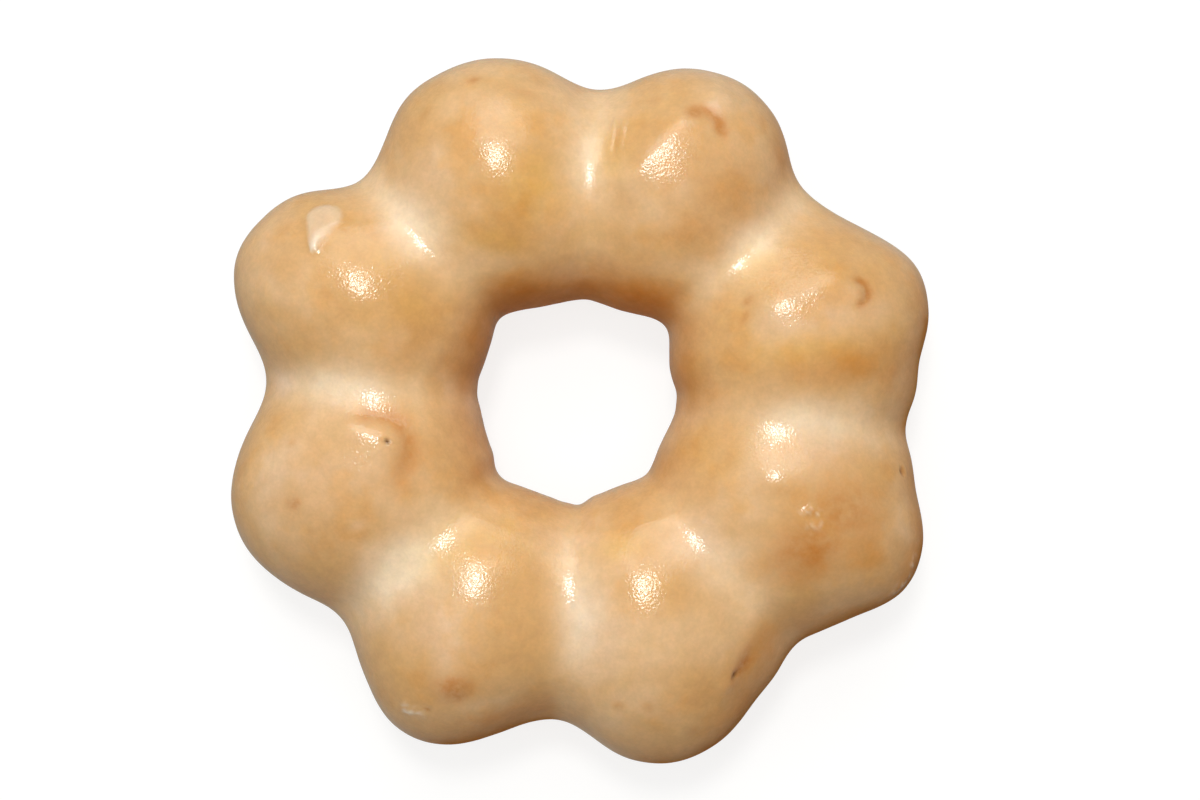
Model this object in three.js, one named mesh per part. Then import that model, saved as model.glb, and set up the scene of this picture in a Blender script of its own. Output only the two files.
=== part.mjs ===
// Glazed ring doughnut made of eight joined balls of soft dough, fried as one piece and coated in sugar glaze.
// Millimetres, +Z up. The origin is at the centre of the bounding box's footprint, on the surface that the doughnut lies on.
// The whole doughnut is one solid: the balls run into each other through rounded necks, round an open centre hole.

import * as THREE from "three";

// ---- Driving dimensions, in millimetres and degrees ----

// Where the ring's centre stands in the part's frame, on plan, and the height of the widest line round the balls.
const RING_CENTRE = [-0.01, 0.92];
const MID_HEIGHT = 13.0;

// The circle that the tube's sections are drawn round.
const SECTION_RADIUS = 31.0;

// Each ball: its angle round the ring, its centre's distance from the ring's centre, its half width across the ring,
// its half length along the ring, and its half heights above and below the widest line. A ball with ahead or behind
// leans: from CROWN_HEIGHT above that line it is that much longer towards the next ball or the one before, in full
// where it is LEAN_FULL or more towards the hole from its centre, and not at all from LEAN_NONE away from the hole.
const BALLS = [
  { at: 16.95, from: 31.28, across: 17.88, along: 16.04, above: 13.9, below: 13.9 },
  { at: 65.91, from: 31.44, across: 17.53, along: 14.42, above: 13.7, below: 13.9, ahead: 1.4 },
  { at: 109.44, from: 31.65, across: 17.5, along: 15.87, above: 13.9, below: 14.0, behind: -1.4 },
  { at: 154.79, from: 32.51, across: 18.29, along: 14.13, above: 13.5, below: 13.8 },
  { at: 199.54, from: 31.31, across: 18.08, along: 16.04, above: 13.8, below: 14.0 },
  { at: 242.99, from: 32.07, across: 18.43, along: 14.72, above: 13.6, below: 13.9, ahead: 6.5 },
  { at: 288.15, from: 31.3, across: 18.86, along: 16.68, above: 14.1, below: 14.0, behind: -4.4 },
  { at: 334.23, from: 31.38, across: 19.09, along: 16.27, above: 13.8, below: 13.9 },
];
const CROWN_HEIGHT = 8.0;
const LEAN_FULL = 6.0;
const LEAN_NONE = 10.0;

// The ring of dough inside the necks: its radius, and its half width and half height.
const CORE = { from: 31.66, across: 10.55, above: 6.5, below: 7.2 };

// How widely a ball is rounded into the next one, at the widest line and from CROWN_REACH above and below it.
const NECK_ROUNDING = 1.5;
const CROWN_ROUNDING = 2.5;
const CROWN_REACH = 10.0;

// The dough is not quite even: how far the outer and inner edges stand out from the plain balls, every 7.5 degrees.
const OUTER_SWELL = [
  0.57, -0.99, -0.06, 0.69, 0.02, -0.12, -0.39, 0.51, 0.18, -0.18, -0.17, -0.16,
  -0.28, -0.08, -0.22, -0.13, 0.43, 0.17, -0.29, 0.46, -0.19, 0.02, -0.19, -0.08,
  -0.18, -0.32, 0.01, 0.12, 0.04, 0.29, 0.39, -0.25, 0.2, 0.08, -0.24, 0.15,
  -0.45, 0.28, 0.36, -0.22, -0.69, 0.8, 0.35, -0.51, 0.63, 0.13, -0.85, 0.53,
];
const INNER_SWELL = [
  -0.35, -0.17, -0.26, -0.2, 0.12, 0.45, 0.4, 0.4, 0.25, 0.01, -0.24, -0.57,
  -0.73, -0.44, -0.08, 0.19, 0.43, 0.47, 0.42, 0.24, 0.18, 0.02, -0.23, -0.7,
  -0.65, -0.21, 0.17, 0.31, 0.24, 0.48, 0.39, 0.16, 0.01, -0.18, -0.41, -0.3,
  0.36, 0.06, 0.05, -0.07, -0.17, -0.09, 0.16, 0.18, 0.11, 0.07, -0.01, -0.18,
];

// Facets round the ring and round the tube.
const ROUND_RING = 120;
const ROUND_TUBE = 36;

// Below this height the underside is pressed flat, which gives each ball a foot to lie on.
const FOOT_HEIGHT = 0.0;

// ---- The shape ----

// Distance-like value of a point from the joined balls: below zero inside the dough.
function dough(x, y, z) {
  const up = z >= MID_HEIGHT;
  const w = z - MID_HEIGHT;
  const crown = THREE.MathUtils.smoothstep(w, 0, CROWN_HEIGHT);
  const parts = [];
  for (const b of BALLS) {
    const a = THREE.MathUtils.degToRad(b.at);
    const u = x * Math.cos(a) + y * Math.sin(a) - b.from;
    const v = -x * Math.sin(a) + y * Math.cos(a);
    const lean = crown * THREE.MathUtils.smoothstep(-u, -LEAN_NONE, LEAN_FULL);
    const along = b.along + lean * ((v < 0 ? b.behind : b.ahead) ?? 0);
    const q = Math.hypot(u / b.across, v / along, w / (up ? b.above : b.below));
    parts.push((q - 1) * Math.min(b.across, b.along));
  }
  const h = up ? CORE.above : CORE.below;
  const ring = Math.hypot(Math.hypot(x, y) - CORE.from, (w * CORE.across) / h);
  parts.push(ring - CORE.across);
  const far = Math.min(1, Math.abs(w) / CROWN_REACH) ** 2;
  const rounding = NECK_ROUNDING + (CROWN_ROUNDING - NECK_ROUNDING) * far;
  const least = Math.min(...parts);
  let sum = 0;
  for (const e of parts) sum += Math.exp((least - e) / rounding);
  return least - rounding * Math.log(sum);
}

// How far the surface is from the section circle, at angle t round the ring and p round the tube.
function reach(t, p) {
  let low = 0;
  let high = 30;
  const c = Math.cos(p);
  const s = Math.sin(p);
  for (let i = 0; i < 40; i++) {
    const mid = (low + high) / 2;
    const r = SECTION_RADIUS + mid * c;
    if (dough(r * Math.cos(t), r * Math.sin(t), MID_HEIGHT + mid * s) < 0) low = mid;
    else high = mid;
  }
  return low;
}

// A smooth closed curve through evenly spaced values.
function swell(values, t) {
  const n = values.length;
  const a = (t / (2 * Math.PI)) * n;
  const k = Math.floor(a);
  const f = a - k;
  const at = (i) => values[(((k + i) % n) + n) % n];
  return (
    at(-1) * (-0.5 * f ** 3 + f ** 2 - 0.5 * f) +
    at(0) * (1.5 * f ** 3 - 2.5 * f ** 2 + 1) +
    at(1) * (-1.5 * f ** 3 + 2 * f ** 2 + 0.5 * f) +
    at(2) * (0.5 * f ** 3 - 0.5 * f ** 2)
  );
}

function surfacePoint(t, p, widest) {
  const r = reach(t, p);
  let out = SECTION_RADIUS + r * Math.cos(p);
  const share = (out - SECTION_RADIUS) / (out > SECTION_RADIUS ? widest.outer : widest.inner);
  out += share ** 2 * swell(out > SECTION_RADIUS ? OUTER_SWELL : INNER_SWELL, t);
  const z = Math.max(FOOT_HEIGHT, MID_HEIGHT + r * Math.sin(p));
  return [RING_CENTRE[0] + out * Math.cos(t), RING_CENTRE[1] + out * Math.sin(t), z];
}

// A torus supplies the ring of faces, and each of its vertices is moved on to the dough's surface.
const body = new THREE.TorusGeometry(SECTION_RADIUS, 10, ROUND_TUBE, ROUND_RING);
const place = body.attributes.position;
for (let j = 0; j <= ROUND_TUBE; j++) {
  for (let i = 0; i <= ROUND_RING; i++) {
    const t = ((i % ROUND_RING) / ROUND_RING) * 2 * Math.PI;
    const p = ((j % ROUND_TUBE) / ROUND_TUBE) * 2 * Math.PI;
    const widest = { outer: reach(t, 0), inner: reach(t, Math.PI) };
    place.setXYZ(j * (ROUND_RING + 1) + i, ...surfacePoint(t, p, widest));
  }
}
place.needsUpdate = true;
body.computeVertexNormals();

const doughnut = new THREE.Mesh(
  body,
  new THREE.MeshStandardMaterial({ color: 0xdcb17f, roughness: 0.35, metalness: 0.0 }),
);
doughnut.name = "doughnut";

const part = new THREE.Group();
part.add(doughnut);

export default part;
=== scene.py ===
import math

import bpy
import numpy as np
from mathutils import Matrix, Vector


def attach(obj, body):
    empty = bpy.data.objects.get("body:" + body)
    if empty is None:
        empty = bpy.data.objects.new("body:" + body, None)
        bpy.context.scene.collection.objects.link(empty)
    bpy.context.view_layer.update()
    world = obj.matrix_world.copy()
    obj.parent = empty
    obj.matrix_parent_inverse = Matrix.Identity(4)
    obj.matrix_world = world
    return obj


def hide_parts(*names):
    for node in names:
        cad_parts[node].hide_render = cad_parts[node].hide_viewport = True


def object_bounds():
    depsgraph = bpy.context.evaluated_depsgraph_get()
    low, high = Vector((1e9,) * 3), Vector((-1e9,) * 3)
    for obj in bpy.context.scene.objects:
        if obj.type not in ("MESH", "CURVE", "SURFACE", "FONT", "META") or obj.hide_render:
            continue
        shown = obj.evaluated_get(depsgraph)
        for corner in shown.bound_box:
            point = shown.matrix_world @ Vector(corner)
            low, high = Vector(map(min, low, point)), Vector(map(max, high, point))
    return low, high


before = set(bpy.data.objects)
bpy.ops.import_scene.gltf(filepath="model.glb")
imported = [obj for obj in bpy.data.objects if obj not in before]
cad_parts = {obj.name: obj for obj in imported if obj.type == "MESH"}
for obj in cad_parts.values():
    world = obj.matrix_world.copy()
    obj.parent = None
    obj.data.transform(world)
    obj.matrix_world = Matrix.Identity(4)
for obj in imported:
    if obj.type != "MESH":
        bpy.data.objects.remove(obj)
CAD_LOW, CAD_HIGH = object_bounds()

# Sugar-glazed ring doughnut of eight joined balls. Lengths in this file are millimetres until the mesh is made.
MM = 0.001

# ---------------------------------------------------------------- the dough's shape, as in the CAD part

RING_CENTRE = (-0.01, 0.92)
MID_HEIGHT = 13.0
SECTION_RADIUS = 31.0
# angle, centre's distance, half width across, half length along, half height above, half height below
BALLS = [
    (16.95, 31.28, 17.88, 16.04, 13.9, 13.9),
    (65.91, 31.44, 17.53, 14.42, 13.7, 13.9),
    (109.44, 31.65, 17.5, 15.87, 13.9, 14.0),
    (154.79, 32.51, 18.29, 14.13, 13.5, 13.8),
    (199.54, 31.31, 18.08, 16.04, 13.8, 14.0),
    (242.99, 32.07, 18.43, 14.72, 13.6, 13.9),
    (288.15, 31.3, 18.86, 16.68, 14.1, 14.0),
    (334.23, 31.38, 19.09, 16.27, 13.8, 13.9),
]
# How much longer each ball is on the hole side of its crown, towards the next ball and towards the one before.
CROWN_AHEAD = [0.0, 1.4, 0.0, 0.0, 0.0, 6.5, 0.0, 0.0]
CROWN_BEHIND = [0.0, 0.0, -1.4, 0.0, 0.0, 0.0, -4.4, 0.0]
CROWN_HEIGHT = 8.0
# Measured outward from the ball's centre: where that lean is over, and where it is full.
LEAN_FROM, LEAN_TO = 10.0, -6.0
CORE = (31.66, 10.55, 6.5, 7.2)
NECK_ROUNDING, CROWN_ROUNDING, CROWN_REACH = 1.5, 2.5, 10.0
OUTER_SWELL = [
    0.57, -0.99, -0.06, 0.69, 0.02, -0.12, -0.39, 0.51, 0.18, -0.18, -0.17, -0.16,
    -0.28, -0.08, -0.22, -0.13, 0.43, 0.17, -0.29, 0.46, -0.19, 0.02, -0.19, -0.08,
    -0.18, -0.32, 0.01, 0.12, 0.04, 0.29, 0.39, -0.25, 0.2, 0.08, -0.24, 0.15,
    -0.45, 0.28, 0.36, -0.22, -0.69, 0.8, 0.35, -0.51, 0.63, 0.13, -0.85, 0.53,
]
INNER_SWELL = [
    -0.35, -0.17, -0.26, -0.2, 0.12, 0.45, 0.4, 0.4, 0.25, 0.01, -0.24, -0.57,
    -0.73, -0.44, -0.08, 0.19, 0.43, 0.47, 0.42, 0.24, 0.18, 0.02, -0.23, -0.7,
    -0.65, -0.21, 0.17, 0.31, 0.24, 0.48, 0.39, 0.16, 0.01, -0.18, -0.41, -0.3,
    0.36, 0.06, 0.05, -0.07, -0.17, -0.09, 0.16, 0.18, 0.11, 0.07, -0.01, -0.18,
]

# Mesh: steps round the ring, and round the tube. The top gets closer steps than the underside.
ROUND_RING = 640
ROUND_TUBE = 156


def smooth(x, low, high):
    s = np.clip((x - low) / (high - low), 0, 1)
    return s * s * (3 - 2 * s)


def ball_values(x, y, z):
    """Each ball's distance-like value at the points, below zero inside it."""
    w = z - MID_HEIGHT
    crown = smooth(w, 0.0, CROWN_HEIGHT)
    out = []
    for (at, away, across, along, above, below), ahead, behind in zip(BALLS, CROWN_AHEAD, CROWN_BEHIND):
        a = math.radians(at)
        u = x * math.cos(a) + y * math.sin(a) - away
        v = -x * math.sin(a) + y * math.cos(a)
        h = np.where(w >= 0, above, below)
        half = along + crown * smooth(u, LEAN_FROM, LEAN_TO) * np.where(v >= 0, ahead, behind)
        out.append((np.sqrt((u / across) ** 2 + (v / half) ** 2 + (w / h) ** 2) - 1) * min(across, along))
    return np.array(out)


def dough(x, y, z):
    w = z - MID_HEIGHT
    h = np.where(w >= 0, CORE[2], CORE[3])
    ring = np.sqrt((np.hypot(x, y) - CORE[0]) ** 2 + (w * CORE[1] / h) ** 2) - CORE[1]
    parts = np.concatenate([ball_values(x, y, z), ring[None]])
    rounding = NECK_ROUNDING + (CROWN_ROUNDING - NECK_ROUNDING) * np.minimum(1, np.abs(w) / CROWN_REACH) ** 2
    least = parts.min(0)
    return least - rounding * np.log(np.exp((least - parts) / rounding).sum(0))


def reach(t, p):
    c, s = np.cos(p), np.sin(p)
    low = np.zeros(np.broadcast(t, p).shape)
    high = low + 30.0
    for _ in range(28):
        mid = (low + high) / 2
        r = SECTION_RADIUS + mid * c
        inside = dough(r * np.cos(t), r * np.sin(t), MID_HEIGHT + mid * s) < 0
        low = np.where(inside, mid, low)
        high = np.where(inside, high, mid)
    return low


def swell(values, t):
    v = np.array(values)
    n = len(v)
    a = t / (2 * np.pi) * n
    k = np.floor(a).astype(int)
    f = a - k
    return (
        v[(k - 1) % n] * (-0.5 * f**3 + f**2 - 0.5 * f)
        + v[k % n] * (1.5 * f**3 - 2.5 * f**2 + 1)
        + v[(k + 1) % n] * (-1.5 * f**3 + 2 * f**2 + 0.5 * f)
        + v[(k + 2) % n] * (0.5 * f**3 - 0.5 * f**2)
    )


def tube_steps(count):
    """Angles round the tube, evenly spaced along a mean section, with the underside's spacing 2.4 times the top's."""
    p = np.linspace(0, 2 * np.pi, 721)
    angles = np.radians([b[0] for b in BALLS])
    r = np.mean([reach(np.full_like(p, a), p) for a in list(angles) + list(angles + 0.4)], axis=0)
    x, z = r * np.cos(p), r * np.sin(p)
    step = np.hypot(np.diff(x), np.diff(z))
    middle = (z[1:] + z[:-1]) / 2
    weight = 1.0 / 2.4 + (1 - 1.0 / 2.4) / (1 + np.exp(-(middle + 3.5) / 1.5))
    along = np.concatenate([[0], np.cumsum(step * weight)])
    return np.interp(np.arange(count) / count * along[-1], along, p)


def grid_points():
    t = np.arange(ROUND_RING) / ROUND_RING * 2 * np.pi
    p = tube_steps(ROUND_TUBE)
    T, P = np.meshgrid(t, p, indexing="ij")
    r = reach(T, P)
    widest_out = reach(t, 0 * t)[:, None]
    widest_in = reach(t, 0 * t + np.pi)[:, None]
    out = SECTION_RADIUS + r * np.cos(P)
    outer = out > SECTION_RADIUS
    share = (out - SECTION_RADIUS) / np.where(outer, widest_out, widest_in)
    out = out + share**2 * np.where(outer, swell(OUTER_SWELL, T), swell(INNER_SWELL, T))
    z = MID_HEIGHT + r * np.sin(P)
    X = np.stack([RING_CENTRE[0] + out * np.cos(T), RING_CENTRE[1] + out * np.sin(T), z], -1)
    return T, P, X


def grid_normals(X):
    n = np.cross(np.roll(X, -1, 0) - np.roll(X, 1, 0), np.roll(X, -1, 1) - np.roll(X, 1, 1))
    return n / np.maximum(np.linalg.norm(n, axis=-1, keepdims=True), 1e-9)


# ---------------------------------------------------------------- noise


def gradient_noise(seed):
    rng = np.random.default_rng(seed)
    perm = rng.permutation(256)
    grads = rng.normal(size=(256, 3))
    grads /= np.linalg.norm(grads, axis=1, keepdims=True)

    def noise(points, wavelength):
        q = points / wavelength
        i = np.floor(q).astype(int)
        f = q - i
        u = f * f * f * (f * (f * 6 - 15) + 10)
        total = np.zeros(points.shape[:-1])
        for dx in (0, 1):
            for dy in (0, 1):
                for dz in (0, 1):
                    h = perm[(perm[(perm[(i[..., 0] + dx) & 255] + i[..., 1] + dy) & 255] + i[..., 2] + dz) & 255]
                    g = grads[h]
                    dot = g[..., 0] * (f[..., 0] - dx) + g[..., 1] * (f[..., 1] - dy) + g[..., 2] * (f[..., 2] - dz)
                    wx = u[..., 0] if dx else 1 - u[..., 0]
                    wy = u[..., 1] if dy else 1 - u[..., 1]
                    wz = u[..., 2] if dz else 1 - u[..., 2]
                    total += dot * wx * wy * wz
        return total * 1.5

    return noise


noise_a, noise_b, noise_c = gradient_noise(11), gradient_noise(23), gradient_noise(37)


# ---------------------------------------------------------------- shaping the surface

T, P, X = grid_points()
N = grid_normals(X)
BASE = X.copy()


class Place:
    """Flat coordinates round one point of the surface: a along the given plan direction, b to its left."""

    def __init__(self, x, y, z, turn=0.0):
        k = np.argmin(((BASE - (x, y, z)) ** 2).sum(-1))
        self.at = BASE.reshape(-1, 3)[k]
        n = N.reshape(-1, 3)[k]
        e = np.array([math.cos(math.radians(turn)), math.sin(math.radians(turn)), 0.0])
        e -= n * (e @ n)
        self.e = e / np.linalg.norm(e)
        self.f = np.cross(n, self.e)
        d = BASE - self.at
        self.a, self.b, self.off = d @ self.e, d @ self.f, np.abs(d @ n)
        self.near = 1 - smooth(self.off, 4.0, 7.0)

    def to(self, x, y, z):
        k = np.argmin(((BASE - (x, y, z)) ** 2).sum(-1))
        d = BASE.reshape(-1, 3)[k] - self.at
        return d @ self.e, d @ self.f

    def round(self, rx, ry=None, a=0.0, b=0.0):
        return self.near * np.exp(-(((self.a - a) / rx) ** 2) - ((self.b - b) / (ry or rx)) ** 2)

    def arc(self, radius, width, start, end, a=0.0, b=0.0, soften=18.0):
        """A curved stroke: part of a circle round (a, b), between two directions in degrees."""
        r = np.hypot(self.a - a, self.b - b)
        d = (np.degrees(np.arctan2(self.b - b, self.a - a)) - start) % 360
        span = (end - start) % 360
        past = np.where(d > span, np.minimum(d - span, 360 - d), 0)
        return self.near * np.exp(-(((r - radius) / width) ** 2) - (past / soften) ** 2)


def crest(place, half_length, rise, gentle, sharp, flatten=0.0, soften=0.6):
    """A raised edge along the place's a direction: it slopes gently on its right side and falls quickly on its left."""
    ends = np.exp(-np.abs(place.a / half_length) ** 4)
    right = np.exp(-(np.sqrt(place.b**2 + soften**2) - soften) / gentle)
    left = np.exp(-((place.b / sharp) ** 2))
    return place.near * ends * (rise + flatten * place.a**2) * np.where(place.b < 0, right, left)


lift = np.zeros(X.shape[:2])
height = X[..., 2]
up_side = smooth(height, 3.0, 12.0)

# Slow unevenness of hand-shaped dough, and the gentle ripple of a glaze that set while it ran.
lift += (0.13 * noise_a(X, 11.0) + 0.05 * noise_b(X, 5.2)) * (0.35 + 0.65 * up_side)
lift += 0.016 * noise_c(X, 2.3) * up_side

# Ball B: a long ridge, a rounded knob at its outer end and a crescent dip between them.
b_ridge = Place(10.4, 34.7, 25.9, 47)
lift += crest(b_ridge, 6.6, 0.64, 3.0, 2.6, 0.018)
b_knob = Place(18.9, 41.3, 21.9, 40)
lift += 0.5 * b_knob.round(2.2, 2.6)
b_arc = Place(16.3, 37.5, 24.9, 0)
b_groove = b_arc.arc(2.3, 1.15, -5, 125, soften=25)
lift -= 0.2 * b_groove

# Ball C: a lower ridge that ends in a small nub with a half ring round it.
c_ridge = Place(29.4, 15.6, 26.5, 26)
lift += crest(c_ridge, 6.6, 0.42, 3.2, 2.6, 0.012, 1.0)
lift -= 0.06 * c_ridge.round(1.4, 2.2)
c_nub = Place(36.6, 15.8, 25.1, 0)
lift += 0.3 * c_nub.round(1.3, 1.4)
c_groove = c_nub.arc(1.65, 0.7, -65, 75, soften=25)
lift -= 0.2 * c_groove

# Ball G: a short sharp ridge, a pinhole at its end and a broad crescent beyond it.
g_ridge = Place(-28.0, -3.1, 25.8, -20)
lift += crest(g_ridge, 4.6, 0.92, 3.1, 2.2, 0.0, 0.7)
g_arc = Place(-26.9, -4.9, 26.3, 0)
g_groove = g_arc.arc(4.7, 1.2, -30, 95, soften=25)
lift -= 0.2 * g_groove
g_pin = Place(-25.34, -4.2, 25.7)
lift -= 0.35 * g_pin.round(0.42)

# Ball F: a low knob that is darker on its lower side, and a crackled blister near the edge.
f_nub = Place(-16.69, -36.4, 24.8, 0)
lift += 0.3 * f_nub.round(2.4, 2.1)
f_groove = f_nub.arc(2.3, 0.8, -100, 10, soften=30)
lift -= 0.07 * f_groove
f_pin = Place(-20.38, -39.55, 22.7)
lift -= 0.22 * f_pin.round(0.45)
f_blister = Place(-22.32, -39.95, 21.4, -10)
f_crackle = f_blister.round(1.5, 1.0)
f_grit = f_crackle * smooth(noise_b(X, 0.85), 0.0, 0.35)
lift += 0.1 * f_crackle + 0.22 * f_grit

# Ball E: a shallow dent with a small pit where two blisters met.
e_dent = Place(22.1, -33.6, 22.4, 62)
lift -= 0.28 * e_dent.round(2.6, 1.2)
e_pit = Place(20.48, -35.01, 23.0, 50)
lift -= 0.42 * e_pit.round(0.65, 0.42)
e_lip = Place(19.6, -36.3, 22.6, 50)
lift += 0.2 * e_lip.round(1.8, 1.0)

# Ball D: a low swelling on its far side, which parts it from the neck.
lift += 0.46 * Place(25.3, -8.6, 26.4).round(3.6, 2.9)

# Ball D: a burst glaze bubble, a pinhole on the right edge and a rough patch of glaze beads below it.
d_bubble = Place(30.42, -13.91, 26.7, 30)
d_crackle = d_bubble.round(1.0, 1.35)
d_grit = d_crackle * smooth(noise_c(X, 0.8), 0.0, 0.35)
lift += 0.14 * d_bubble.arc(1.1, 0.38, 40, 250) - 0.12 * d_bubble.round(0.6) + 0.42 * d_grit
d_pin = Place(43.13, -8.04, 19.4)
lift -= 0.4 * d_pin.round(0.5) - 0.12 * d_pin.arc(0.9, 0.35, 0, 359)
d_drip = Place(44.09, -21.92, 17.9, 58)
d_rough = d_drip.round(3.2, 0.9)
d_beads = d_rough * smooth(noise_b(X, 1.1), 0.0, 0.4)
lift += 0.06 * d_rough + 0.26 * d_beads

# Between A and B: a narrow upright blister with raised rims.
ab = Place(4.96, 36.44, 23.3, 90)
ab_long = 1 - smooth(np.abs(ab.a), 2.3, 3.1)
ab_rim = ab.near * ab_long * np.exp(-(((np.abs(ab.b) - 0.65) / 0.3) ** 2))
lift += 0.25 * ab_rim * (1.0 + 0.8 * noise_c(X, 1.3))

# Ball G: a small scar of crackled glaze.
g_scar = Place(-29.13, -14.85, 26.1, 20)
g_crackle = g_scar.round(1.3, 0.9)
lift += g_crackle * 0.14 * noise_c(X, 1.0)

# Ball H: a teardrop of thick glaze that set as it ran, with its narrow end towards the hole side.
bead = Place(-34.4, 23.7, 23.7, 0)
big, tip = np.array(bead.to(-33.8, 25.8, 22.6)), np.array(bead.to(-35.1, 21.5, 24.5))
axis = tip - big
along = np.clip(((bead.a - big[0]) * axis[0] + (bead.b - big[1]) * axis[1]) / (axis @ axis), 0, 1)
off_axis = np.hypot(bead.a - big[0] - along * axis[0], bead.b - big[1] - along * axis[1])
wide = 2.5 + (0.6 - 2.5) * along**0.9
inside = off_axis / wide
bead_mask = bead.near * (1 - smooth(inside, 0.84, 1.1))
bead_dome = bead.near * np.sqrt(np.clip(1 - np.clip(inside, 0, 1) ** 2, 0, 1))
lift += bead_dome * (0.36 + 0.3 * along)
# A painted highlight: a white streak along the narrow end of the bead.
painted_bead_highlight = bead_mask * smooth(along, 0.3, 0.8) * np.exp(-((off_axis / 0.45) ** 2))

# Where the glaze ran down the sides it stopped in a thick wavy rim, just above the feet.
outward = X - np.array([RING_CENTRE[0], RING_CENTRE[1], 0])
turn = np.arctan2(outward[..., 1], outward[..., 0])
outer_side = np.hypot(outward[..., 0], outward[..., 1]) > SECTION_RADIUS
wave = (
    0.75 * np.sin(5 * turn + 0.6) + 0.5 * np.sin(11 * turn + 2.1) + 0.35 * np.sin(23 * turn + 4.0)
    + 1.2 * noise_a(X, 7.0)
)
rim_height = np.where(outer_side, 4.3, 3.9) + wave
rim = np.exp(-(((height - rim_height) / 0.85) ** 2)) * (N[..., 2] < 0.2)
above_rim = smooth(height - rim_height, -0.9, 0.5)
under = 1 - np.where(N[..., 2] < 0.2, above_rim, 1.0)
lift += 0.16 * rim * (0.65 + 0.5 * noise_b(X, 6.0))
# The bare crust below the rim is faintly wrinkled.
lift += under * (0.07 * noise_b(X, 2.6) + 0.05 * noise_c(X, 1.4)) * smooth(height, 0.2, 1.6)

X = X + N * lift[..., None]

# The feet: the underside is pressed flat, with its edge rounded over.
z = X[..., 2]
soft_foot = 0.5 * (z + np.sqrt(z * z + 0.3**2)) - 0.02
X[..., 2] = np.maximum(soft_foot, 0.0)

# The visual mesh keeps to the CAD box.
flat = X.reshape(-1, 3)
low, high = flat.min(0), flat.max(0)
cad_low, cad_high = np.array(CAD_LOW) / MM, np.array(CAD_HIGH) / MM
scale = np.minimum(1.0, (cad_high - cad_low) / (high - low))
centre = (low + high) / 2
flat = (flat - centre) * scale + centre
shift = np.clip(cad_low - flat.min(0), 0, None) + np.clip(cad_high - flat.max(0), None, 0)
flat = flat + shift
flat[:, 2] -= flat[:, 2].min()
X = flat.reshape(X.shape)
N2 = grid_normals(X)

# ---------------------------------------------------------------- where the colour changes

fields = np.sort(ball_values(BASE[..., 0] - RING_CENTRE[0], BASE[..., 1] - RING_CENTRE[1], BASE[..., 2]), axis=0)
neck = np.exp(-(((fields[1] - fields[0]) / 4.2) ** 2))
radius = np.hypot(outward[..., 0], outward[..., 1])
# How milky the glaze is in each neck: its direction from the ring's centre, the strength, and the radius of the middle.
MILKY_NECKS = [
    (42, 1.0, 32), (88, 0.55, 35), (133, 1.1, 33), (177, 1.1, 32),
    (221, 1.35, 32), (266, 0.9, 28), (311, 0.5, 28), (356, 0.95, 31),
]
milky_neck = np.zeros(X.shape[:2])
for at, strength, middle_radius in MILKY_NECKS:
    d = (np.degrees(turn) - at + 180) % 360 - 180
    window = np.exp(-(((radius - middle_radius) / 7.5) ** 2))
    milky_neck = np.maximum(milky_neck, strength * window * neck * (np.abs(d) < 20))
milky_neck *= smooth(N[..., 2], 0.25, 0.8)
steep = smooth(1 - N[..., 2], 0.2, 0.75)
# Painted shade: the wall of the hole is coloured darker and warmer on its far and left sides, which face away from the
# lights, and is partly toasted there too; the outer edge is coloured darker on its near right side, which also faces
# away from them.
facing = np.degrees(np.arctan2(N[..., 1], N[..., 0]))


def towards(direction, spread):
    d = (facing - direction + 180) % 360 - 180
    return np.exp(-((d / spread) ** 2))


in_hole = smooth(SECTION_RADIUS - radius, 3.0, 9.0)
hole_wall_toast_and_shade = np.clip(towards(265, 82) + 0.35 * towards(0, 45) + 0.15 * towards(180, 50), 0, 1)
hole_wall_toast_and_shade = smooth(1 - N[..., 2], 0.1, 0.5) * in_hole * (0.06 + 0.94 * hole_wall_toast_and_shade)
# Painted shade on the outer edge: darker and warmer where it faces away from the lights, mostly on the near right side.
edge = steep * (1 - in_hole) * np.clip(1.7 * towards(312, 57) + 0.25 * towards(180, 35), 0, 1)
# The glaze is thinnest, and the surface drier, on the sides painted with shade and underneath.
dry = np.maximum(0.85 * under, np.maximum(0.95 * edge, 0.85 * hole_wall_toast_and_shade))

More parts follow.
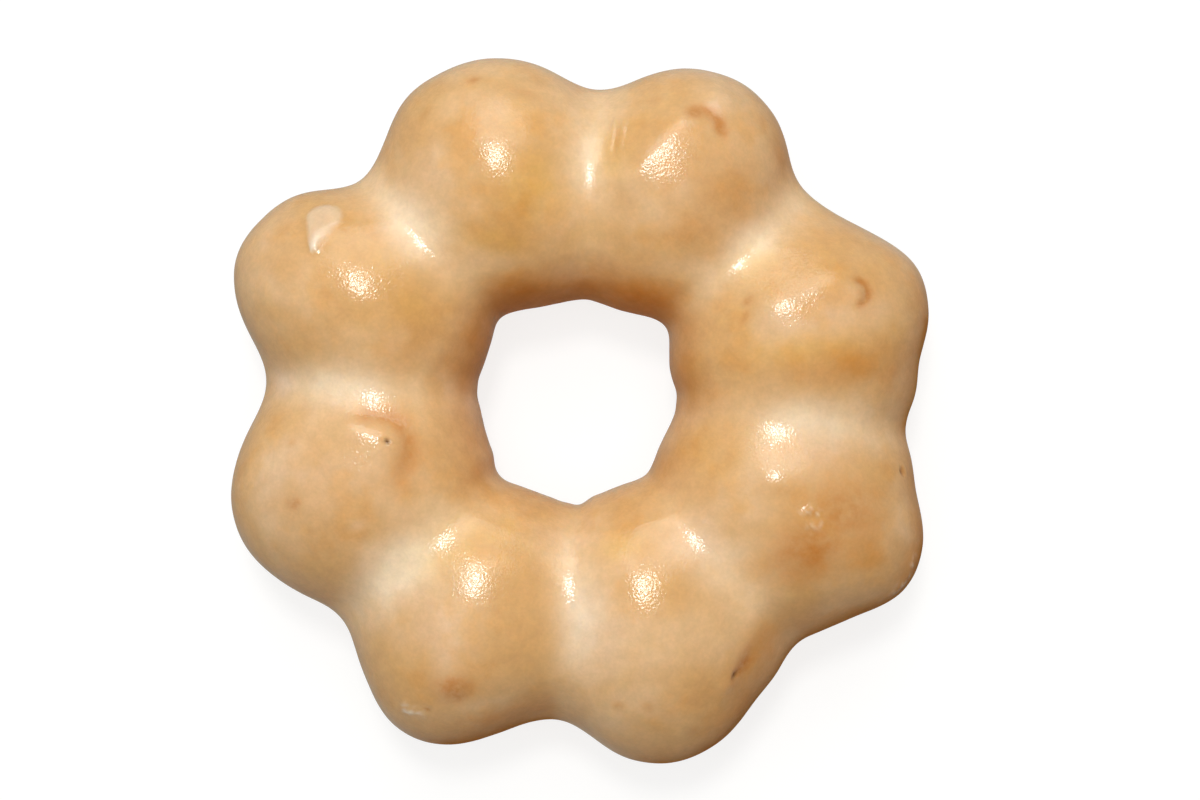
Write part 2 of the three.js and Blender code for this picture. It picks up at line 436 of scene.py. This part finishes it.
# Patches: x, y, z, half length, half width, turn, strength.
# Toasted spots, and painted shade: the rows at (-8.5, 18.3), (9.3, 17.6) and (7.5, 19.5) on the hole's far wall and at
# (35.6, 6.3) on ball C's slope towards D darken sides that face away from the lights.
TOASTED_AND_SHADED = [
    (-8.5, 18.3, 20.5, 4.5, 2.6, -10, 0.45),
    (9.3, 17.6, 20.0, 5.4, 3.0, 10, 1.0),
    (41.0, 5.6, 22.0, 4.5, 3.2, 0, 0.7),
    (20.5, 30.4, 24.5, 6.0, 7.0, 0, 0.45),
    (35.6, 6.3, 24.5, 9.0, 2.8, 8, 0.75),
    (7.5, 19.5, 20.0, 5.0, 3.0, 0, 0.5),
    (45.5, 12.0, 16.0, 3.0, 6.0, 0, 0.5),
    (14.6, 24.1, 25.8, 4.6, 1.9, 15, 0.55),
    (26.9, 34.3, 18.5, 2.2, 3.5, -60, 0.5),
    (-21.8, 22.2, 23.8, 3.0, 1.6, -30, 0.35),
    (-23.0, 8.7, 25.0, 5.4, 4.8, 0, 0.35),
    (-23.3, -7.8, 26.0, 2.4, 4.6, 0, 0.7),
    (-24.2, -2.5, 25.1, 3.0, 1.4, -30, 0.55),
    (29.0, -19.6, 25.7, 5.7, 3.3, 20, 1.0),
    (38.4, -17.7, 24.3, 4.1, 4.6, 0, 0.7),
    (27.7, -4.7, 25.6, 3.0, 1.9, 0, 0.55),
    (43.4, 6.1, 20.6, 3.3, 4.1, 0, 0.6),
    (25.4, -30.6, 20.3, 6.8, 3.5, 40, 0.55),
    (15.9, -38.2, 24.3, 5.4, 2.2, 20, 0.25),
    (-16.4, -36.8, 24.7, 3.0, 2.4, 0, 0.5),
    (-23.2, -1.2, 25.0, 3.4, 2.2, -45, 0.6),
    (22.6, -32.6, 21.8, 4.2, 2.2, 60, 0.6),
    (-10.6, -40.6, 20.7, 8.2, 1.9, -5, 0.5),
    (-7.2, 25.8, 26.1, 5.4, 3.0, -20, 0.3),
    (38.3, 14.9, 24.8, 1.6, 2.2, 0, 0.4),
]
# Golden areas of crust; the first two rows, on the hole's far wall, are painted warm shade.
GOLD_AND_SHADE = [
    (-8.5, 18.3, 20.5, 4.5, 2.6, -10, 0.6),
    (9.3, 17.6, 20.0, 4.8, 2.8, 10, 0.6),
    (-7.5, 29.4, 26.6, 4.5, 5.4, 0, 1.0),
    (-7.8, 37.7, 25.5, 3.0, 3.5, 0, 0.5),
    (4.3, 34.5, 24.0, 1.9, 3.8, 0, 0.6),
    (-27.6, 18.8, 25.9, 4.1, 3.0, -20, 0.8),
    (-23.6, 14.6, 25.8, 5.4, 4.1, 0, 0.4),
    (-14.5, -17.7, 24.6, 5.7, 3.3, 15, 0.9),
    (-9.9, -15.8, 23.3, 3.3, 2.7, 0, 0.5),
    (6.4, -17.7, 24.3, 3.3, 2.2, 0, 0.8),
    (9.5, -22.5, 26.4, 2.4, 1.9, 0, 0.6),
    (23.9, 19.3, 23.9, 3.5, 2.2, 20, 0.8),
    (29.0, 7.8, 26.8, 9.5, 2.2, 5, 0.7),
    (15.4, 3.5, 20.2, 2.7, 5.4, 0, 0.4),
    (-9.8, 22.5, 25.4, 5.4, 2.2, -5, 0.5),
    (16.0, -3.9, 21.8, 4.1, 4.1, 0, 0.4),
]
# Pale glaze, and painted sheen: the rows at (9.9, 34.4), (32.3, 13.3), (23.7, -9.1) and (15.9, -15.7) lie on
# highlights, and the rows low on the outer side paint a pale sheen on the rim.
PALE_AND_SHEEN = [
    (-35.8, -22.6, 17.0, 3.0, 4.5, 45, 0.9),
    (-18.3, -42.5, 16.0, 5.0, 3.0, -10, 0.9),
    (14.5, 43.6, 17.0, 4.0, 3.0, -15, 0.8),
    (-40.0, 4.8, 18.0, 3.0, 3.0, 0, 0.9),
    (-43.2, -16.5, 15.0, 3.0, 5.0, 0, 0.8),
    (-13.7, 1.5, 17.0, 3.0, 3.0, 0, 1.0),
    (13.0, 1.5, 17.0, 3.0, 3.0, 0, 1.0),
    (18.2, 40.6, 22.4, 2.4, 1.5, 40, 0.6),
    (15.9, 0.4, 21.0, 4.0, 5.0, 0, 1.0),
    (33.0, -7.6, 25.5, 4.2, 3.2, 0, 1.0),
    (13.0, -9.5, 22.0, 4.0, 4.0, -40, 0.5),
    (-16.5, 4.0, 21.5, 2.5, 5.0, 0, 0.6),
    (-40.4, 21.4, 22.4, 3.8, 4.9, 20, 0.8),
    (-36.8, -10.4, 25.7, 7.6, 8.0, 0, 1.0),
    (-19.7, 33.2, 24.5, 3.5, 6.0, -20, 0.6),
    (14.5, 29.0, 26.7, 8.2, 4.1, -30, 0.5),
    (9.9, 34.4, 25.9, 4.6, 2.4, 37, 0.5),
    (32.3, 13.3, 26.5, 6.8, 3.0, 10, 0.8),
    (40.4, 23.0, 17.4, 5.4, 2.2, -35, 0.4),
    (-19.7, -29.5, 25.9, 6.3, 5.4, 0, 0.8),
    (2.7, -30.1, 26.0, 5.4, 8.2, 0, 0.35),
    (10.6, -35.4, 26.3, 6.8, 5.4, 0, 0.2),
    (-29.8, -8.6, 26.6, 5.0, 3.6, 0, 0.5),
    (15.9, -15.7, 24.2, 3.5, 5.4, -25, 0.6),
    (23.7, -9.1, 26.3, 3.3, 2.7, 0, 0.4),
    (-2.6, -17.2, 21.7, 4.1, 2.7, 0, 0.3),
    (43.4, -15.9, 20.9, 1.6, 4.1, 0, 0.3),
    (-13.1, 39.7, 24.8, 4.1, 2.7, 0, 0.4),
]
BROWN = [
    (-37.51, -12.25, 25.2, 0.95, 0.85, 0, 0.8),
    (-37.99, -4.35, 24.3, 0.6, 0.6, 0, 0.45),
    (9.31, -38.78, 25.0, 0.8, 0.7, 0, 0.5),
    (5.09, -39.14, 24.0, 0.9, 0.7, 0, 0.5),
    (15.08, -42.57, 21.7, 0.9, 0.8, 0, 0.4),
    (22.37, 14.66, 24.9, 0.8, 0.6, 40, 0.6),
    (21.83, 12.27, 25.2, 1.1, 0.45, 60, 0.4),
    (-14.2, 44.06, 21.4, 1.0, 0.7, 20, 0.6),
    (-6.97, 42.03, 23.1, 2.2, 0.8, -15, 0.3),
    (-20.55, 39.47, 22.1, 1.1, 0.7, 50, 0.35),
    (10.02, 41.45, 22.2, 0.9, 0.7, 0, 0.3),
    (34.6, -13.0, 25.6, 5.4, 3.6, 10, 0.55),
    (30.4, -18.0, 25.6, 5.0, 3.6, 20, 0.58),
    (4.96, 36.44, 23.3, 0.7, 2.3, 0, 0.3),
    (23.2, -31.4, 21.6, 3.0, 1.7, 60, 0.4),
]


def patches(rows):
    out = np.zeros(X.shape[:2])
    for x, y, z, rx, ry, deg, strength in rows:
        out = np.maximum(out, strength * Place(x, y, z, deg).round(rx, ry))
    return out


# The crescent dip on ball B, below its knob, is coloured darker partly as painted shade of the knob's lower side and
# partly as browned crust.
toast_and_shade = np.clip(np.maximum(patches(TOASTED_AND_SHADED), 0.9 * b_groove + 0.85 * c_groove + 0.8 * g_arc.arc(5.0, 1.8, -35, 100, soften=25)), 0, 1)
pale_and_sheen = np.clip(patches(PALE_AND_SHEEN), 0, 1)
gold_and_shade = np.clip(patches(GOLD_AND_SHADE), 0, 1)
brown = patches(BROWN)
for mask, amount in (
    (b_groove, 0.7), (c_groove, 0.75), (g_groove, 0.5), (f_groove, 0.35),
    (Place(37.8, 15.3, 24.9).round(1.3, 1.9), 0.5), (Place(-16.8, -36.6, 24.8).round(2.4, 2.1), 0.75),
    (Place(-15.9, -37.6, 24.2, 20).round(1.1, 0.8), 0.8), (Place(21.6, -34.0, 22.5, 60).round(3.2, 1.5), 0.85),
    (e_pit.round(0.95, 0.55), 1.0), (d_pin.round(0.5), 0.8), (f_pin.round(0.4), 0.8),
):
    brown = np.maximum(brown, amount * mask)
# Painted shade: the pinholes coloured a dark brown.
pinhole_shade = np.maximum(g_pin.round(0.36), np.maximum(e_pit.round(0.6, 0.36) * 0.8, d_pin.round(0.4) * 0.5))
# Milky glaze on the bead and the blisters, and painted glints: the bead's white streak and the white on ball D's grit
# and beads.
milky_and_glint = np.clip(bead_mask * 0.45 + 0.5 * painted_bead_highlight + 0.2 * f_crackle + 0.8 * f_grit + 0.9 * d_grit + 0.2 * g_crackle + 0.7 * d_beads, 0, 1)

# ---------------------------------------------------------------- the mesh


def build_mesh():
    nt, nps = X.shape[:2]
    i = np.arange(nt)[:, None]
    j = np.arange(nps)[None, :]
    quad = np.stack(
        [
            i * nps + j,
            ((i + 1) % nt) * nps + j,
            ((i + 1) % nt) * nps + (j + 1) % nps,
            i * nps + (j + 1) % nps,
        ],
        -1,
    ).reshape(-1, 4)
    mesh = bpy.data.meshes.new("glazed_ring")
    mesh.vertices.add(nt * nps)
    mesh.vertices.foreach_set("co", (X.reshape(-1, 3) * MM).astype(np.float32).ravel())
    mesh.loops.add(quad.size)
    mesh.loops.foreach_set("vertex_index", quad.astype(np.int32).ravel())
    mesh.polygons.add(len(quad))
    mesh.polygons.foreach_set("loop_start", np.arange(0, quad.size, 4, dtype=np.int32))
    mesh.polygons.foreach_set("use_smooth", np.ones(len(quad), dtype=bool))
    mesh.update(calc_edges=True)
    mesh.validate()
    for name, values in (
        ("neck", neck), ("toast_and_shade", toast_and_shade), ("pale_and_sheen", pale_and_sheen), ("gold_and_shade", gold_and_shade),
        ("brown", brown), ("pinhole_shade", pinhole_shade), ("milky_and_glint", milky_and_glint), ("under", under), ("hole_wall_toast_and_shade", hole_wall_toast_and_shade), ("edge", edge), ("milky_neck", milky_neck),
        ("dry", dry),
    ):
        layer = mesh.attributes.new(name, "FLOAT", "POINT")
        layer.data.foreach_set("value", values.astype(np.float32).ravel())
    return mesh


mesh = build_mesh()
ring = bpy.data.objects.new("glazed_ring", mesh)
bpy.context.scene.collection.objects.link(ring)

# ---------------------------------------------------------------- material


def srgb(r, g, b):
    return tuple(
        (c / 255 / 12.92) if c / 255 <= 0.04045 else ((c / 255 + 0.055) / 1.055) ** 2.4 for c in (r, g, b)
    ) + (1.0,)


class Nodes:
    def __init__(self, material):
        material.use_nodes = True
        self.tree = material.node_tree
        self.tree.nodes.clear()

    def new(self, kind, **values):
        n = self.tree.nodes.new(kind)
        for k, v in values.items():
            setattr(n, k, v)
        return n

    def put(self, socket, value):
        if isinstance(value, bpy.types.NodeSocket):
            self.tree.links.new(value, socket)
        else:
            socket.default_value = value

    def attribute(self, name):
        n = self.new("ShaderNodeAttribute", attribute_type="GEOMETRY", attribute_name=name)
        return n.outputs["Fac"]

    def noise(self, coords, size_mm, detail=3.0, rough=0.5, distortion=0.0):
        n = self.new("ShaderNodeTexNoise")
        self.put(n.inputs["Vector"], coords)
        n.inputs["Scale"].default_value = 1.0 / (size_mm * MM)
        n.inputs["Detail"].default_value = detail
        n.inputs["Roughness"].default_value = rough
        n.inputs["Distortion"].default_value = distortion
        return n.outputs["Fac"]

    def remap(self, value, a, b, c=0.0, d=1.0, smooth_it=True):
        n = self.new("ShaderNodeMapRange", interpolation_type="SMOOTHSTEP" if smooth_it else "LINEAR")
        self.put(n.inputs["Value"], value)
        for key, v in (("From Min", a), ("From Max", b), ("To Min", c), ("To Max", d)):
            self.put(n.inputs[key], v)
        return n.outputs["Result"]

    def math(self, operation, a, b=0.0, clamp=False):
        n = self.new("ShaderNodeMath", operation=operation, use_clamp=clamp)
        self.put(n.inputs[0], a)
        self.put(n.inputs[1], b)
        return n.outputs[0]

    def mix(self, fac, a, b, blend="MIX"):
        n = self.new("ShaderNodeMix", data_type="RGBA", blend_type=blend)
        self.put(n.inputs[0], fac)
        self.put(n.inputs[6], a)
        self.put(n.inputs[7], b)
        return n.outputs[2]


material = bpy.data.materials.new("glazed_dough")
g = Nodes(material)
coords = g.new("ShaderNodeTexCoord").outputs["Object"]

broad = g.noise(coords, 13.0, 2.0, 0.5, 0.3)
middle = g.noise(coords, 5.0, 3.0, 0.55, 0.2)
mottle = g.noise(coords, 1.6, 3.0, 0.6)
grain = g.noise(coords, 0.45, 2.0, 0.6)


def gain(colour, mask, r, gr, b):
    """Multiplies the colour by (r, gr, b) where mask is 1."""
    return g.mix(mask, colour, (r, gr, b, 1.0), "MULTIPLY")


def uneven(name, texture, low=0.7, high=1.1):
    """A painted area whose strength varies with a noise, so that it has no even edge."""
    return g.math("MULTIPLY", g.attribute(name), g.remap(texture, 0.3, 0.7, low, high))


colour = g.mix(g.remap(broad, 0.36, 0.66), (0.70, 0.395, 0.158, 1), (0.775, 0.49, 0.252, 1))
colour = gain(colour, g.remap(middle, 0.42, 0.74, 0.0, 0.5), 1.03, 1.05, 1.0)
colour = gain(colour, g.remap(g.noise(coords, 6.0, 3.0, 0.55), 0.48, 0.7, 0.0, 0.9), 1.01, 0.93, 0.78)
# Thicker, milkier glaze in the necks between balls.
colour = gain(colour, uneven("neck", broad, 0.75, 1.05), 1.03, 1.06, 1.12)
colour = g.mix(uneven("milky_neck", middle, 0.8, 1.1), colour, (0.9, 0.69, 0.47, 1.0))
# Toasted spots, with painted shade on the hole's far wall and on ball C's slope towards D.
colour = gain(colour, uneven("toast_and_shade", middle), 0.92, 0.74, 0.52)
# Golden areas, with painted warm shade on the hole's far wall.
colour = gain(colour, uneven("gold_and_shade", middle), 0.98, 0.9, 0.55)
# Pale glaze, and painted highlights and rim sheen, made whiter and bluer.
colour = gain(colour, uneven("pale_and_sheen", middle), 1.05, 1.13, 1.42)
# Painted shade, partly toasting: the hole wall darker and warmer where it faces away from the lights.
colour = gain(colour, uneven("hole_wall_toast_and_shade", middle, 0.85, 1.05), 0.74, 0.5, 0.3)
# Painted shade: the outer edge darker and warmer where it faces away from the lights.
colour = gain(colour, uneven("edge", middle, 0.85, 1.05), 0.87, 0.59, 0.3)
colour = gain(colour, uneven("brown", mottle, 0.35, 1.3), 0.74, 0.52, 0.32)
# Milky glaze, and painted glints in white.
colour = g.mix(g.attribute("milky_and_glint"), colour, srgb(243, 222, 198))
# Painted shade inside the pinholes.
colour = g.mix(g.attribute("pinhole_shade"), colour, srgb(92, 60, 34))
# The drier crust underneath.
crust = g.mix(g.remap(mottle, 0.3, 0.75), srgb(203, 143, 86), srgb(214, 157, 100))
crust = gain(crust, g.remap(middle, 0.4, 0.7, 0.0, 0.6), 0.93, 0.88, 0.8)
colour = g.mix(g.attribute("under"), colour, crust)
# Fine mottling in value.
speckle = g.math("MULTIPLY", g.remap(mottle, 0.25, 0.8, 0.94, 1.04), g.remap(grain, 0.3, 0.7, 0.975, 1.025))
grey = g.new("ShaderNodeCombineColor")
for k in range(3):
    g.put(grey.inputs[k], speckle)
colour = g.mix(1.0, colour, grey.outputs[0], "MULTIPLY")

shader = g.new("ShaderNodeBsdfPrincipled")
g.put(shader.inputs["Base Color"], colour)
g.put(shader.inputs["Roughness"], g.remap(g.attribute("dry"), 0, 1, 0.48, 0.75))
shader.inputs["IOR"].default_value = 1.42
shader.inputs["Specular IOR Level"].default_value = 0.0
shader.inputs["Subsurface Weight"].default_value = 0.22
shader.inputs["Subsurface Radius"].default_value = (1.0, 0.5, 0.22)
shader.inputs["Subsurface Scale"].default_value = 0.0022
shader.inputs["Coat Roughness"].default_value = 0.19
shader.inputs["Coat IOR"].default_value = 1.55
g.put(shader.inputs["Coat Weight"], g.remap(g.attribute("dry"), 0, 1, 1.0, 0.0, False))

def relief(height, strength, distance_mm):
    n = g.new("ShaderNodeBump")
    n.inputs["Strength"].default_value = strength
    n.inputs["Distance"].default_value = distance_mm * MM
    g.put(n.inputs["Height"], height)
    return n.outputs[0]


# The dough is only faintly grainy, and the fine sugar grain of the glaze breaks up its highlights.
height_value = g.math("ADD", g.math("MULTIPLY", grain, 0.6), g.math("MULTIPLY", g.noise(coords, 1.1, 2.0, 0.5), 0.3))
sugar = g.math("ADD", g.math("MULTIPLY", g.noise(coords, 0.3, 1.5, 0.5), 0.55), g.math("MULTIPLY", g.noise(coords, 0.6, 1.0, 0.5), 0.5))
g.put(shader.inputs["Normal"], relief(height_value, 0.3, 0.12))
g.put(shader.inputs["Coat Normal"], relief(sugar, 0.5, 0.115))

output = g.new("ShaderNodeOutputMaterial")
g.tree.links.new(shader.outputs[0], output.inputs["Surface"])
mesh.materials.append(material)

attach(ring, "root")
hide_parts("doughnut")

# ---------------------------------------------------------------- floor, light and camera

WORLD_HIGH = (0.04, 0.04, 0.04, 1)
WORLD_LOW = (0.52, 0.49, 0.45, 1)

scene = bpy.context.scene
scene.view_settings.view_transform = "Standard"
scene.view_settings.look = "None"

bpy.ops.mesh.primitive_plane_add(size=6.0, location=(0, 0, -0.00005))
floor = bpy.context.object
floor.name = "floor"
floor_material = bpy.data.materials.new("pale_floor")
f = Nodes(floor_material)
floor_shader = f.new("ShaderNodeBsdfPrincipled")
floor_shader.inputs["Base Color"].default_value = (0.24, 0.24, 0.238, 1)
floor_shader.inputs["Roughness"].default_value = 0.9
floor_shader.inputs["Specular IOR Level"].default_value = 0.0
floor_shader.inputs["Emission Color"].default_value = (1.0, 0.998, 0.995, 1)
floor_shader.inputs["Emission Strength"].default_value = 0.8
floor_output = f.new("ShaderNodeOutputMaterial")
f.tree.links.new(floor_shader.outputs[0], floor_output.inputs["Surface"])
floor.data.materials.append(floor_material)
# The floor is seen, but its bounce and reflection are left to the warmer light from below.
floor.visible_diffuse = False
floor.visible_glossy = False

world = bpy.data.worlds.new("studio")
scene.world = world
w = Nodes(world)
direction = w.new("ShaderNodeSeparateXYZ")
w.put(direction.inputs[0], w.new("ShaderNodeTexCoord").outputs["Generated"])
surround = w.mix(w.remap(direction.outputs["Z"], -0.3, 0.3), WORLD_LOW, WORLD_HIGH)
# Behind the floor the studio's backdrop is seen as white, but it adds no light.
seen = w.new("ShaderNodeLightPath").outputs["Is Camera Ray"]
back = w.new("ShaderNodeBackground")
w.put(back.inputs["Color"], w.mix(seen, surround, (1.0, 0.998, 0.995, 1)))
back.inputs["Strength"].default_value = 1.0
world_output = w.new("ShaderNodeOutputWorld")
w.tree.links.new(back.outputs[0], world_output.inputs["Surface"])


def softbox(name, tilt, turn, distance, size, watts, colour=(1, 1, 1), mirrored=True):
    """A round soft light at tilt degrees off vertical, towards plan direction turn, aimed at the ring's middle."""
    light = bpy.data.lights.new(name, "AREA")
    light.shape = "DISK"
    light.size = size
    light.energy = watts
    light.color = colour
    ob = bpy.data.objects.new(name, light)
    scene.collection.objects.link(ob)
    a, b = math.radians(tilt), math.radians(turn)
    way = Vector((math.sin(a) * math.cos(b), math.sin(a) * math.sin(b), math.cos(a)))
    target = Vector((0, 0, 0.013))
    ob.location = target + way * distance
    ob.rotation_euler = way.to_track_quat("Z", "Y").to_euler()
    ob.visible_glossy = mirrored
    return ob


# A small bright light for the sparkle on each ball, and broad soft ones: overhead, behind the top edge and at the sides.
softbox("key", 20, 100, 1.2, 0.24, 5.0, (1.0, 0.985, 0.96))
softbox("overhead", 0, 90, 1.3, 1.1, 6.4, (1.0, 0.97, 0.92), mirrored=False)
softbox("back", 45, 90, 1.3, 1.1, 8.0, (0.98, 1.0, 0.95))
softbox("left", 45, 180, 1.3, 1.1, 2.6, (0.75, 0.93, 1.0), mirrored=False)

camera_data = bpy.data.cameras.new("camera")
camera_data.sensor_width = 36.0
camera_data.lens = 88.235
camera_data.clip_start = 0.01
camera_data.clip_end = 20.0
camera = bpy.data.objects.new("camera", camera_data)
camera.location = (0.00271, 0.00146, 0.413)
camera.rotation_euler = (0, 0, 0)
scene.collection.objects.link(camera)
scene.camera = camera
